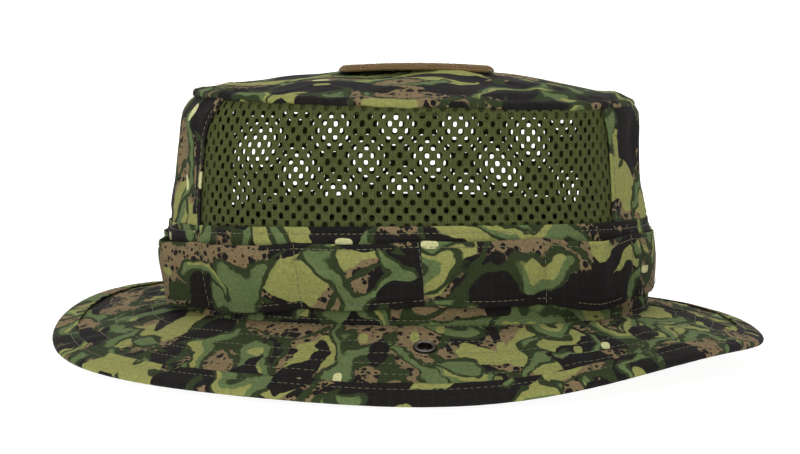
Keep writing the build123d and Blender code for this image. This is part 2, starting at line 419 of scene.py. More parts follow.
# ------------------------------------------------------------------ materials
class Nodes:
    """A short way to write a node tree."""

    def __init__(self, tree):
        self.tree = tree

    def add(self, kind, inputs=None, **settings):
        node = self.tree.nodes.new(kind)
        for key, value in settings.items():
            setattr(node, key, value)
        for key, value in (inputs or {}).items():
            self.put(node.inputs[key], value)
        return node

    def put(self, socket, value):
        """Sets a socket to a value, or links another node's socket to it."""
        if isinstance(value, bpy.types.NodeSocket):
            self.tree.links.new(value, socket)
        else:
            socket.default_value = value

    def feed(self, node, **values):
        """Sets a node's sockets by name, with _ for a space."""
        for key, value in values.items():
            self.put(node.inputs[key.replace("_", " ")], value)

    def bump(self, bsdf, height, strength, distance):
        """Bumps a surface, over any bump that it already has."""
        values = {"Strength": strength, "Distance": distance, "Height": height}
        if bsdf.inputs["Normal"].links:
            values["Normal"] = bsdf.inputs["Normal"].links[0].from_socket
        self.feed(bsdf, Normal=self.add("ShaderNodeBump", values).outputs[0])

    def maths(self, operation, a, b=None, c=None, clamp=False):
        values = {i: v for i, v in enumerate((a, b, c)) if v is not None}
        node = self.add("ShaderNodeMath", values, operation=operation, use_clamp=clamp)
        return node.outputs[0]

    def over(self, value, edge, soft):
        """0 below edge and 1 above it, with a soft step."""
        up = self.maths("SUBTRACT", value, edge - soft / 2)
        return self.maths("DIVIDE", up, soft, clamp=True)

    def noise(self, vector, scale, detail=0.0, roughness=0.5, w=0.0):
        node = self.add("ShaderNodeTexNoise", noise_dimensions="4D")
        self.feed(node, Vector=vector, Scale=scale, Detail=detail, Roughness=roughness, W=w)
        return node.outputs["Fac"]

    def cells(self, vector, scale):
        values = {"Vector": vector, "Scale": scale}
        return self.add("ShaderNodeTexVoronoi", values, voronoi_dimensions="2D")

    def lots(self, cell):
        """Three random numbers from 0 to 1 for each cell."""
        return self.add("ShaderNodeSeparateColor", {0: cell.outputs["Color"]}).outputs

    def mix(self, fac, a, b):
        """Blends two colours, in the sockets that the node keeps for colours."""
        return self.add("ShaderNodeMix", {"Factor": fac, 6: a, 7: b}, data_type="RGBA").outputs[2]

    def on_cloth(self):
        """Where a point lies on the flat cloth, in metres."""
        return self.add("ShaderNodeUVMap", uv_map="cloth").outputs[0]

    def in_space(self):
        """Where a point lies in the shared frame."""
        return self.add("ShaderNodeTexCoord").outputs["Object"]

    def axes(self, vector):
        return self.add("ShaderNodeSeparateXYZ", {0: vector}).outputs

    def placed(self, vector, offset=(0, 0, 0), turn=0.0, scale=(1, 1, 1)):
        values = {"Vector": vector, "Location": offset, "Rotation": (0, 0, turn), "Scale": scale}
        return self.add("ShaderNodeMapping", values).outputs[0]


def rgb(r, g, b):
    """A colour from 0 to 255 as the eye sees it, in Blender's linear values."""
    linear = [((c / 255 + 0.055) / 1.055) ** 2.4 if c > 10 else c / 255 / 12.92 for c in (r, g, b)]
    return (*linear, 1.0)


CHARCOAL = rgb(23, 20, 22)
TAN = rgb(111, 96, 70)
TAN_PALE = rgb(132, 113, 82)
MID_GREEN = rgb(84, 101, 62)
DARK_GREEN = rgb(45, 55, 32)
LIME = rgb(138, 140, 80)
CREAM = rgb(200, 198, 146)


def camouflage_group():
    """The print: worm-like lobes with dark outlines over lime, charcoal and speckled tan."""
    tree = bpy.data.node_groups.new("camouflage", "ShaderNodeTree")
    tree.interface.new_socket("Vector", in_out="INPUT", socket_type="NodeSocketVector")
    tree.interface.new_socket("Color", in_out="OUTPUT", socket_type="NodeSocketColor")
    n = Nodes(tree)
    here = n.placed(n.add("NodeGroupInput").outputs[0], scale=(1.25, 1.25, 1))

    def vector_maths(operation, inputs):
        return n.add("ShaderNodeVectorMath", inputs, operation=operation).outputs[0]

    def bent(vector, scale, by, place):
        source = n.add("ShaderNodeTexNoise", {"Vector": n.placed(vector, place), "Scale": scale})
        off = vector_maths("SUBTRACT", {0: source.outputs["Color"], 1: (0.5, 0.5, 0.5)})
        return vector_maths("ADD", {0: vector, 1: vector_maths("SCALE", {0: off, "Scale": by})})

    lobes = bent(bent(here, 26.0, 0.026, (0, 0, 0)), 75.0, 0.010, (5, 5, 0))

    def field(scale, w, stretch=(1, 1, 1)):
        return n.noise(n.placed(lobes, scale=stretch), scale, w=w)

    def below(value, edge, soft=0.012):
        return n.maths("SUBTRACT", 1.0, n.over(value, edge, soft))

    def distance(a, b, reach_a, reach_b, middle, start):
        """Under 1 on a stroke where a is middle. Its ends are round, where b falls below start."""
        across = n.maths("DIVIDE", n.maths("ABSOLUTE", n.maths("SUBTRACT", a, middle)), reach_a)
        beyond = n.maths("DIVIDE", n.maths("MAXIMUM", n.maths("SUBTRACT", start, b), 0.0), reach_b)
        squares = n.maths("ADD", n.maths("POWER", across, 2.0), n.maths("POWER", beyond, 2.0))
        return n.maths("SQRT", squares)

    # Tan ground with black specks, larger and closer towards its edges
    ground = field(21.0, 1.7, (0.85, 1.15, 1))
    tan = n.over(ground, 0.460, 0.008)
    torn = bent(here, 900.0, 0.0012, (2, 7, 0))
    cell = n.cells(torn, 300.0)
    chance = n.lots(cell)[0]
    near_edge = n.maths("SUBTRACT", 1.0, n.over(ground, 0.530, 0.10))
    reach = n.maths("MULTIPLY", chance, n.maths("MULTIPLY_ADD", near_edge, 0.58, 0.34))
    speck = n.over(n.maths("SUBTRACT", reach, cell.outputs["Distance"]), 0.03, 0.06)
    coarse = n.cells(bent(here, 420.0, 0.003, (9, 1, 0)), 130.0)
    luck = n.lots(coarse)[1]
    wide = n.maths("MULTIPLY_ADD", near_edge, 0.22, 0.24)
    size = n.maths("MULTIPLY", n.over(luck, 0.62, 0.1), wide)
    blot = n.over(n.maths("SUBTRACT", size, coarse.outputs["Distance"]), 0.0, 0.05)
    tan_colour = n.mix(n.noise(here, 140.0, detail=2.0, w=2.0), TAN, TAN_PALE)
    tan_colour = n.mix(n.maths("MAXIMUM", speck, blot), tan_colour, CHARCOAL)
    colour = n.mix(tan, CHARCOAL, tan_colour)
    # Lime fields with a dark green line beside part of their edge
    lime_field = field(23.0, 23.9, (0.85, 1.3, 1))
    lined = below(distance(lime_field, ground, 0.024, 0.05, 0.512, 0.47), 1.0, 0.2)
    colour = n.mix(n.over(lime_field, 0.600, 0.006), colour, LIME)
    # Worms: a dark green outline round a mid green middle
    worm_field = field(27.0, 9.2, (0.8, 1.25, 1))
    worm_ends = field(26.0, 14.6)
    worm = distance(worm_field, worm_ends, 0.066, 0.085, 0.5, 0.525)
    colour = n.mix(n.maths("MAXIMUM", lined, below(worm, 1.0, 0.1)), colour, DARK_GREEN)
    glow = n.mix(n.noise(here, 70.0, w=6.0), MID_GREEN, rgb(98, 115, 72))
    colour = n.mix(below(worm, 0.52, 0.12), colour, glow)
    # A second, sparser set on top
    top_field = field(24.0, 33.1, (0.75, 1.2, 1))
    top_ends = field(21.0, 41.8)
    top_worm = distance(top_field, top_ends, 0.062, 0.08, 0.5, 0.555)
    colour = n.mix(below(top_worm, 1.0, 0.1), colour, DARK_GREEN)
    colour = n.mix(below(top_worm, 0.5, 0.12), colour, glow)
    lime_heart = distance(top_field, top_ends, 0.017, 0.05, 0.525, 0.60)
    colour = n.mix(below(lime_heart, 1.0, 0.2), colour, LIME)
    # Charcoal lobes over the greens
    dark_field = field(28.0, 52.4, (0.75, 1.45, 1))
    colour = n.mix(n.over(dark_field, 0.62, 0.006), colour, CHARCOAL)
    # Small pale capsules
    pale_cell = n.cells(n.placed(here, (0.3, 0.1, 0), scale=(0.5, 1.0, 1)), 44.0)
    pale_cell.distance = "MINKOWSKI"
    n.feed(pale_cell, Exponent=2.6)
    kept, tint, _ = n.lots(pale_cell)
    small = below(pale_cell.outputs["Distance"], 0.10, 0.01)
    capsule = n.maths("MULTIPLY", small, n.over(kept, 0.66, 0.01))
    colour = n.mix(capsule, colour, n.mix(n.over(tint, 0.45, 0.02), CREAM, LIME))
    n.add("NodeGroupOutput", {0: colour})
    return tree


def shader(name):
    mat = bpy.data.materials.new(name)
    mat.use_nodes = True
    n = Nodes(mat.node_tree)
    bsdf = mat.node_tree.nodes["Principled BSDF"]
    n.feed(bsdf, Specular_IOR_Level=0.06)
    return mat, n, bsdf


RIPSTOP_GRID = 0.0056
WEAVE_PITCH = 0.0009


def ripstop_height(n, uv):
    """Height and ribs of ripstop: a plain weave with a thicker thread at even steps."""
    axes = n.axes(uv)
    heights = []
    ribs = []
    for axis in (0, 1):
        across = n.maths("PINGPONG", axes[axis], RIPSTOP_GRID / 2)
        ribs.append(n.maths("SUBTRACT", 1.0, n.over(across, 0.0003, 0.0004)))
        thread = n.maths("SINE", n.maths("MULTIPLY", axes[axis], TURN / WEAVE_PITCH))
        heights.append(n.maths("MULTIPLY_ADD", thread, 0.16, ribs[axis]))
    return n.maths("MAXIMUM", *heights), n.maths("MAXIMUM", *ribs)


def camo_cloth(name, offset, turn=0.0):
    """Printed ripstop. Each piece has its own offset and turn, so that no two match."""
    mat, n, bsdf = shader(name)
    uv = n.on_cloth()
    camo = n.add("ShaderNodeGroup", node_tree=CAMO)
    n.feed(camo, Vector=n.placed(uv, offset, turn))
    # The grain of the threads, fading in broad patches, and the paler crest of each rib
    fade = n.noise(uv, 55.0, detail=3.0, roughness=0.6, w=offset[0])
    height, ribs = ripstop_height(n, uv)
    along = n.noise(n.placed(uv, scale=(0.3, 1, 1)), 1500.0, w=3.0)
    across = n.noise(n.placed(uv, scale=(1, 0.3, 1)), 1500.0, w=4.0)
    grain = n.maths("ADD", n.maths("MAXIMUM", along, across), 0.43)
    woven = n.add("ShaderNodeHueSaturation", {"Color": camo.outputs[0], "Value": grain}).outputs[0]
    faded = n.mix(n.maths("MULTIPLY", fade, 0.05), woven, rgb(120, 116, 96))
    ribbed = n.mix(n.maths("MULTIPLY", ribs, 0.35), faded, n.mix(0.035, faded, rgb(150, 152, 120)))
    creases = n.noise(uv, 130.0, detail=3.0, roughness=0.6, w=offset[1])
    n.bump(bsdf, height, 0.35, 0.00012)
    n.bump(bsdf, creases, 0.5, 0.0009)
    n.feed(bsdf, Base_Color=ribbed, Roughness=n.maths("MULTIPLY_ADD", fade, 0.14, 0.78))
    n.feed(bsdf, Sheen_Weight=0.01, Sheen_Roughness=0.6)
    return mat


def plain_cloth(name, colour, second, grain, strength=0.4, distance=0.0002, sheen=0.1):
    mat, n, bsdf = shader(name)
    where = n.in_space()
    cloudy = n.noise(where, 90.0, detail=4.0, roughness=0.65)
    fine = n.noise(where, grain, detail=2.0, roughness=0.7)
    both = n.maths("MULTIPLY_ADD", fine, 0.6, n.maths("MULTIPLY", cloudy, 0.4))
    n.bump(bsdf, fine, strength, distance)
    n.feed(bsdf, Base_Color=n.mix(both, colour, second), Sheen_Weight=sheen)
    n.feed(bsdf, Roughness=n.maths("MULTIPLY_ADD", cloudy, 0.15, 0.78))
    return mat


def mesh_cloth():
    """Knitted mesh: upright wales of loops, with painted shade between the yarns."""
    mat, n, bsdf = shader("olive mesh")
    uv = n.on_cloth()
    axes = n.axes(uv)
    slant = n.maths("PINGPONG", axes[0], 0.00069)
    rows = n.maths("MULTIPLY_ADD", slant, 0.8, axes[1])
    yarn = n.maths("SINE", n.maths("MULTIPLY", rows, TURN / 0.0008))
    wale = n.maths("SINE", n.maths("MULTIPLY", axes[0], TURN / 0.00138))
    height = n.maths("MULTIPLY_ADD", yarn, 0.5, wale)
    # Painted shade: the colour is darker where the knit's height is low, between the yarns
    shade = n.maths("MULTIPLY_ADD", height, 0.22, 0.5, clamp=True)
    blotch = n.noise(uv, 480.0, detail=3.0, roughness=0.7)
    shade = n.maths("MULTIPLY_ADD", shade, 0.5, -0.3)
    tone = n.maths("MULTIPLY_ADD", blotch, 1.2, shade, clamp=True)
    n.feed(bsdf, Base_Color=n.mix(tone, rgb(46, 53, 27), rgb(94, 99, 58)), Roughness=0.8)
    n.bump(bsdf, height, 0.6, 0.0002)
    return mat


def metal():
    mat, n, bsdf = shader("gunmetal")
    where = n.in_space()
    worn = n.noise(where, 700.0, detail=3.0, roughness=0.7)
    # Painted highlight and shade: bright where the surface faces up or down, as atop the domed
    # flange; dark where it faces sideways, the dark finish on the flange's edge and painted shade
    # inside the barrel
    upright = n.axes(n.add("ShaderNodeNewGeometry").outputs["Normal"])[2]
    painted_highlight = n.over(n.maths("ABSOLUTE", upright), 0.72, 0.4)
    highlight_colour = n.mix(worn, rgb(92, 86, 84), rgb(170, 162, 156))
    n.feed(bsdf, Base_Color=n.mix(painted_highlight, rgb(26, 23, 22), highlight_colour), Metallic=0.9)
    n.feed(bsdf, Roughness=n.maths("MULTIPLY_ADD", worn, 0.3, 0.16))
    n.bump(bsdf, worn, 0.2, 0.0001)
    return mat


CAMO = camouflage_group()
CAMO_BRIM_TOP = camo_cloth("camouflage brim", (0.47, 0.22, 0), 1.62)
CAMO_BRIM_UNDER = camo_cloth("camouflage brim underside", (1.17, 0.85, 0), 0.4)
CAMO_STRIP = camo_cloth("camouflage rim strip", (2.40, 0.33, 0), 0.9)
CAMO_FRONT = camo_cloth("camouflage front", (3.23, 1.71, 0), 1.4)
CAMO_REAR = camo_cloth("camouflage rear", (4.44, 2.19, 0), 1.5)
CAMO_TOP = camo_cloth("camouflage top", (5.41, 0.93, 0))
CAMO_BAND = camo_cloth("camouflage base band", (6.02, 1.38, 0))
CAMO_FOLIAGE = camo_cloth("camouflage foliage band", (7.29, 3.04, 0))
THREAD = plain_cloth("thread", rgb(96, 98, 72), rgb(132, 132, 102), 2500.0)
MESH = mesh_cloth()
LOOP_TAPE = plain_cloth("loop tape", rgb(84, 64, 32), rgb(134, 108, 62), 1500.0, 0.9, 0.0006, 0.3)
LOOP_YARN = plain_cloth("loop yarn", rgb(104, 80, 42), rgb(152, 122, 72), 2600.0, 0.2, sheen=0.3)
SWEATBAND = plain_cloth("sweatband twill", rgb(66, 72, 44), rgb(92, 98, 62), 1300.0)
TAPE = plain_cloth("seam tape", rgb(58, 64, 36), rgb(84, 90, 54), 1300.0)
INTERLINING = plain_cloth("interlining", rgb(176, 172, 158), rgb(206, 202, 188), 700.0)
GUNMETAL = metal()


def left_right(side):
    return "left" if side > 0 else "right"


def top_under(up):
    return "top" if up > 0 else "under"


def front_rear(front):
    return "front" if front else "rear"


def paint(ob, material):
    ob.data.materials.clear()
    ob.data.materials.append(material)


def dress(ob, material, nodes=()):
    """Gives a piece its material, hangs it on the root body, and hides the frame's parts that it
    stands for.
    """
    paint(ob, material)
    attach(ob, "root")
    if nodes:
        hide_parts(*nodes)
    return ob


# ------------------------------------------------------------------ brim
ROWS = [d * MM for d in BRIM_ROWS]
STRIP_ROW = 8.7 * MM  # the rim strip's stitch row, in from the rim
PLY_MIDDLE = 0.8 * MM  # a ply's middle, from the middle of the brim
PLY_HOLE = 3.4 * MM  # radius of the hole that an eyelet's barrel goes through
LINING_HOLE = 3.6 * MM
THREAD_STOP = 5.4 * MM  # rows of stitches break off this far from an eyelet's axis
HALF_GAP = 0.002  # each half stops this angle short of the seam

pucker = ripple(21, 0.0085)
billow = ripple(22, 0.036)
radial = ripple(23, 0.0075)


def rim(t):
    return brim(t, 1.0 + 0 * t)


def brim_width(t):
    return np.linalg.norm(rim(t) - brim(t, 0 * t), axis=-1)


def brim_at(t, d):
    """Points of the brim's middle, d metres out from the crown, and their upward normals."""
    s = d / brim_width(t)
    P = brim(t, s)
    step = 1e-3
    N = unit(np.cross(brim(t, s + step) - P, brim(t + step, s) - P))
    return P, N


def eyelet_gap(P):
    """How far points are from the axis of the nearer eyelet."""
    gaps = []
    for mount in EYELETS:
        axis = np.array(mount["axis"])
        away = P - np.array(mount["pos_m"])
        gaps.append(np.linalg.norm(away - (away @ axis)[..., None] * axis, axis=-1))
    return np.minimum(*gaps)


def brim_relief(P, t, d):
    """How far a ply puffs up between its rows of stitches, and puckers along them."""
    width = brim_width(t)
    puff = 0.0
    for a, b in zip(ROWS, ROWS[1:] + [width - STRIP]):
        f = np.clip((d - a) / (b - a), 0, 1)
        puff = puff + np.maximum(np.sin(math.pi * f), 0) ** 0.7
    x, y = P[..., 0], P[..., 1]
    rise = puff * (0.34 + 0.1 * billow(x, y)) + (1.1 - puff) * 0.1 * pucker(x, y)
    turn = np.arctan2(y, x)
    rise = rise + 0.26 * radial(turn * 0.13, d * 0.12) * (0.35 + np.cos(turn) ** 2)
    calm = np.clip((eyelet_gap(P) - 5.5 * MM) / (7 * MM), 0, 1)
    calm = calm * np.clip((width - STRIP + 1 * MM - d) / (2 * MM), 0, 1)
    return rise * MM * calm * np.clip(d / (3 * MM), 0, 1)


def ply_at(t, d, up, lift=0.0):
    """Points on a ply's middle, or lift metres off it, and the way up from them.

    up is 1 on top, -1 underneath.
    """
    P, N = brim_at(t, d)
    out = PLY_MIDDLE + brim_relief(P, t, d) + lift
    return P + N * up * np.expand_dims(out, -1), N * up


def half_angles(side):
    """Angles over one half of the brim: side is 1 on the left, -1 on the right."""
    t, _ = even_angles(rim, HALF_GAP, math.pi - HALF_GAP, 1.8 * MM)
    return side * t[:, None]


def brim_columns(width):
    """Distances out from the crown, with one on each row of stitches."""
    marks = [0.4 * MM, *ROWS, width - STRIP, width - 1.4 * MM]
    steps = (1, 7, 6, 5, 5, 3, 5)
    columns = []
    for a, b, count in zip(marks, marks[1:], steps):
        columns.append(np.broadcast_to(a + np.arange(count) / count * (b - a), (len(width), count)))
    columns.append(marks[-1])
    return np.concatenate(columns, axis=1)


def cut_eyelet(P):
    """Marks the quads inside the eyelet's hole, and draws its edge to a circle."""
    centre = (P[:-1, :-1] + P[1:, :-1] + P[:-1, 1:] + P[1:, 1:]) / 4
    holes = eyelet_gap(centre) < PLY_HOLE
    inside = np.zeros(P.shape[:2], bool)
    outside = np.zeros(P.shape[:2], bool)
    for i, j in ((0, 0), (0, 1), (1, 0), (1, 1)):
        window = (slice(i, i + holes.shape[0]), slice(j, j + holes.shape[1]))
        inside[window] |= holes
        outside[window] |= ~holes
    edge = inside & outside
    mount = min(EYELETS, key=lambda m: abs(m["pos_m"][1] - P[len(P) // 2, 0, 1]))
    axis = np.array(mount["axis"])
    away = P - np.array(mount["pos_m"])
    along = (away @ axis)[..., None] * axis
    P[edge] = (P - away + along + unit(away - along) * PLY_HOLE)[edge]
    return holes


def brim_ply(side, up):
    name = f"{top_under(up)}_{left_right(side)}"
    t = half_angles(side)
    width = brim_width(t)
    P = ply_at(t, brim_columns(width), up)[0]
    holes = cut_eyelet(P)
    ob = shell("brim_" + name + "_cloth", P, P[..., :2] * 1.02, CLOTH, holes=holes)
    material = CAMO_BRIM_TOP if up > 0 else CAMO_BRIM_UNDER
    return dress(ob, material, ["brim_" + name])


def brim_stiffener(side):
    """The interlining between the plies of one half."""
    word = left_right(side)
    t = half_angles(side)[::3]
    width = brim_width(t)
    d = 0.6 * MM + np.linspace(0, 1, 24) * (width - 2.4 * MM)
    P = brim_at(t, d)[0]
    holes = eyelet_gap((P[:-1, :-1] + P[1:, 1:]) / 2) < LINING_HOLE
    ob = shell("interlining_" + word, P, P[..., :2], 0.7 * MM, holes=holes)
    return dress(ob, INTERLINING, ["brim_interlining_" + word])


def eyelet(mount):
    """A rolled eyelet turned about its bore: a domed flange round a plain barrel."""
    # Its section in mm, as distances out from the bore's axis and up along it
    over = np.linspace(0, 1, 14)
    domed = points(2.5 + 2.5 * over, 1.25 + 0.9 * np.sin(math.pi * over) ** 0.7)
    start = np.array(((2.5, -2.05), (2.5, -0.5), (2.5, 0.8)))
    end = np.array(((4.7, 1.18), (3.1, 1.12), (3.1, -0.5), (3.1, -2.05)))
    radius, height = np.concatenate([start, domed, end]).T * MM
    axis = unit(np.array(mount["axis"]))
    forward = unit(np.cross(np.array((0.0, 1.0, 0.0)), axis))
    sideways = np.cross(axis, forward)
    turn = np.linspace(0, TURN, 72, endpoint=False)[:, None, None]
    spoke = forward * np.cos(turn) + sideways * np.sin(turn)
    section = np.array(mount["pos_m"]) + radius[:, None] * spoke + height[:, None] * axis
    ob = swept_ring(mount["name"] + "_rolled", section)
    return dress(ob, GUNMETAL, [mount["name"]])


def rim_strip():
    """The folded strip round the rim: flat on both faces of the brim, round at the fold."""
    t, a, around = even_ring(rim, 1.5 * MM)
    wander = ripple(31, 0.03)(a, 0 * a)
    gather = ripple(32, 0.0075)(a, 0 * a)
    # Distances in from the rim and off the brim's middle, over the top face, in mm
    faced = np.array((10.7, 11.9, 12.2, 11.4, 10.1, 8.7, 7.4, 5.8, 4.2, 2.7, 1.4, 0.5, 0.08))
    off = np.array((1.18, 1.75, 2.4, 2.55, 2.2, 1.75, 1.98, 2.08, 2.04, 1.9, 1.6, 1.05, 0.45))
    loose = np.array((0, 0, 1, 1, 0.6, 0.2, 0.7, 1, 1, 0.7, 0.4, 0.2, 0))
    lining_in = np.array((1.5, 2.2, 6.0))
    lining_off = np.array((0.35, 1.16, 1.18))
    inward = np.concatenate([faced, faced[::-1], lining_in[::-1], lining_in])
    height = np.concatenate([off, -off[::-1], -lining_off[::-1], lining_off])
    slack = np.concatenate([loose, -loose[::-1], 0 * lining_in, 0 * lining_in])
    width = brim_width(t)
    edge = np.concatenate([[1, 1, 1], np.zeros(10)])
    edge = np.concatenate([edge, edge[::-1], np.zeros(6)])
    d = width - (inward + edge * 0.25 * wander) * MM
    P, N = brim_at(t, d)
    lift = (height + slack * (0.09 * gather + 0.05 * wander)) * MM
    P = P + N * lift[..., None]
    ob = swept_ring("rim_strip", P, points(a, lengths(P[0])[None, :]), around)
    return dress(ob, CAMO_STRIP, ["brim_binding"])


# ------------------------------------------------------------------ crown
BAND_OUT = 0.95 * MM  # the base band's middle, out from the wall
BAND_CLOTH = 0.8 * MM

# Where the end panels meet the mesh: x by height, both in mm
front_seam = smooth_curve(((0, 85.3), (66, 85.3), (82, 84.0), (94.5, 80.5)))
rear_seam = smooth_curve(((0, -88), (64, -88), (80, -86), (94.5, -79.5)))


def seam_angle(h, line):
    """The angle of an end panel's side at height h, on the left."""
    reach = FOOT_X + growth_by_height(h / MM) * MM
    return np.arccos((line(h / MM) - middle_by_height(h / MM)) * MM / reach)


def off_wall(P, t, out):
    """Points moved out from the crown's wall, and the level way out from it."""
    outward = unit(points(np.cos(t) * FOOT_Y, np.sin(t) * FOOT_X, 0))
    return P + outward * out, outward


def crown_arc(t0, t1, step, h):
    """Angles spaced evenly along the crown's wall at height h."""
    return even_angles(lambda a: crown(a, h + 0 * a), t0, t1, step)


def crown_ring(step, h):
    return even_ring(lambda a: crown(a, h + 0 * a), step)


END_CREASE = ripple(41, 0.03)
END_FOLD = ripple(42, 0.075)


def end_panel_at(share, up, front):
    """A point of the front or rear panel: share runs -1 to 1 across it, up 0 to 1."""
    line = front_seam if front else rear_seam
    h = up * SEAM_HEIGHT
    side = seam_angle(h, line)
    t = share * side if front else math.pi + share * (math.pi - side)
    h = up * seam_height(t)
    span = FOOT_Y * np.abs(side if front else math.pi - side) * 1.08
    from_edge = (1 - np.abs(share)) * span
    free = smooth_step((h - 46 * MM) / (12 * MM)) * smooth_step((92 * MM - h) / (10 * MM))
    crease = END_CREASE(share * span * 1.3, h * 0.55) * 0.45 + END_FOLD(share * span, h * 0.6) * 0.9
    lap = 0.8 * (1 - smooth_step((from_edge - 5 * MM) / (4 * MM)))
    valley = 0.22 * bump_at(from_edge, 2.6 * MM, 0.9 * MM)
    out = (0.1 + lap - valley + crease * free * smooth_step(from_edge / (14 * MM))) * MM
    return crown(t, h, out), t, h, share * span


def end_panel(front):
    word = front_rear(front)
    share = np.sin(np.linspace(-1, 1, 76) * math.pi / 2 * 0.985)
    share = (share / share[-1])[:, None]
    up = np.linspace(0.0, 1.006, 60)[None, :]
    P, _, h, across = end_panel_at(share, up, front)
    sewn = (np.abs(share) > 0.94) | (up < 0.47) | (up > 0.97)
    P = settle(P, sewn, spare=0.012)
    ob = shell("crown_" + word + "_cloth", P, points(across, h), CLOTH)
    material = CAMO_FRONT if front else CAMO_REAR
    return dress(ob, material, ["crown_" + word + "_panel"])


MESH_PITCH = 5.5 * MM
MESH_ROW = 3.2 * MM
MESH_HOLE = (2.15 * MM, 2.6 * MM)
MESH_OUT = -0.45 * MM
MESH_LOW = 36 * MM  # its lower edge, under the base band
MESH_HIGH = 99 * MM  # its upper edge before the top seam draws it in
SEAM_MIDDLE = 60 * MM  # height at which the mesh's own width is taken
MESH_LAP = 0.045  # angle by which it goes on under each end panel


def mesh_cells(columns, rows, seed):
    """The flat mesh, cell by cell: one ring of points round its rim, its lip and its hole.

    Gives the rims' points, each of them once, then the lips and holes of all the cells, and
    for each cell the numbers of its rim's points.
    """
    along = np.array([-1, -0.5, 0, 0.5])
    sides = (points(along, -1), points(1, along), points(-along, 1), points(-1, -along))
    outline = np.concatenate(sides)
    turn = np.arctan2(outline[:, 1], outline[:, 0])
    round_off = lambda v: np.sign(v) * np.abs(v) ** 0.72
    hole = points(round_off(np.cos(turn)), round_off(np.sin(turn)))
    cell = np.array([MESH_PITCH, MESH_ROW]) / 2
    centres = []
    for row in range(rows):
        for column in range(columns):
            centres.append(((column + 0.5 + 0.5 * (row % 2)) * MESH_PITCH, (row + 0.5) * MESH_ROW))
    centres = np.array(centres)
    count = len(centres)
    rims = centres[:, None] + outline * cell
    keys = np.round(rims / (cell / 4)).astype(int).reshape(-1, 2)
    _, first, back = np.unique(keys, axis=0, return_index=True, return_inverse=True)
    r = np.random.default_rng(seed)
    size = np.array(MESH_HOLE) / 2 * r.normal(1, 0.05, (count, 1, 2))
    shift = r.normal(0, 0.08 * MM, (count, 1, 2))
    holes = centres[:, None] + hole * size + shift
    lips = centres[:, None] + hole * (size + np.array([0.4, 0.2]) * MM) + shift * 0.6
    return rims.reshape(-1, 2)[first], lips, holes, back.reshape(count, len(outline))


def mesh_panel(side):
    """Knitted mesh with staggered holes: one ring of faces round each hole, on both sides."""
    word = left_right(side)
    t_front = seam_angle(SEAM_MIDDLE, front_seam) - MESH_LAP
    t_rear = seam_angle(SEAM_MIDDLE, rear_seam) + MESH_LAP
    angles, arc = crown_arc(t_front, t_rear, 1 * MM, 70 * MM)
    columns = int(arc[-1] / MESH_PITCH)
    rows = int((MESH_HIGH - MESH_LOW) / MESH_ROW)
    rims, lips, holes, back = mesh_cells(columns, rows, 51 if side > 0 else 52)
    count, ring = back.shape
    n_rim, n_ring = len(rims), count * ring
    flat = np.concatenate([rims, lips.reshape(-1, 2), holes.reshape(-1, 2)])
    # How far the faces stand off the cloth's middle at the rims, lips and holes, in mm
    raised = np.repeat([0.3, 0.42, 0.2], [n_rim, n_ring, n_ring])
    sag = ripple(53, 0.05)(flat[:, 0], flat[:, 1]) * 0.35
    t = side * np.interp(flat[:, 0], arc, angles)
    seam = seam_height(t)
    h = MESH_LOW + flat[:, 1]
    pinch = smooth_step((h - 44 * MM) / (8 * MM)) * smooth_step((seam - h) / (10 * MM))
    # What would pass the top seam is drawn in under it
    h = np.minimum(h, seam - 0.2 * MM + 0.05 * (h - seam))
    skin = lambda off: crown(t, h, MESH_OUT + (off + sag * pinch) * MM)
    verts = np.concatenate([skin(raised), skin(-raised * 0.7)])
    total = len(flat)
    lip = n_rim + np.arange(n_ring).reshape(count, ring)
    edge = lip + n_ring
    way = int(side)
    faces = []
    for c in range(count):
        for i in range(ring):
            k = (i + 1) % ring
            for inner, outer in ((lip[c], back[c]), (edge[c], lip[c])):
                quad = (outer[i], outer[k], inner[k], inner[i])
                faces.append(quad[::way])
                faces.append(tuple(total + v for v in quad[::-way]))
            wall = (edge[c][i], edge[c][k], total + edge[c][k], total + edge[c][i])
            faces.append(wall[::way])
    # Walls round the panel's own edge, where a cell has no neighbour
    met = {}
    for c in range(count):
        for i in range(ring):
            a, b = back[c][i], back[c][(i + 1) % ring]
            key = (min(a, b), max(a, b))
            met[key] = None if key in met else (a, b)
    for pair in met.values():
        if pair:
            a, b = pair
            faces.append((a, total + a, total + b, b)[::way])
    ob = new_object("mesh_" + word + "_cloth", verts, faces, np.concatenate([flat, flat]))
    return dress(ob, MESH, ["mesh_panel_" + word])


def dome(x, y):
    """Height of the top panel over the plan point. Its edge is tilted, and its middle is level."""
    r2 = ((x - TOP_MIDDLE) / (FOOT_X + TOP_GROWTH)) ** 2 + (y / (FOOT_Y + TOP_GROWTH)) ** 2
    inside = np.maximum(1 - r2, 0)
    tilt = x * math.tan(CROWN_TILT) * (1 - inside)
    return FOOT + SEAM_HEIGHT - tilt + DOME_RISE * (1.08 + 0.09 * x / FOOT_X) * inside**0.84


TOP_DENT = ripple(61, 0.05)
TOP_PUCKER = ripple(62, 0.012)


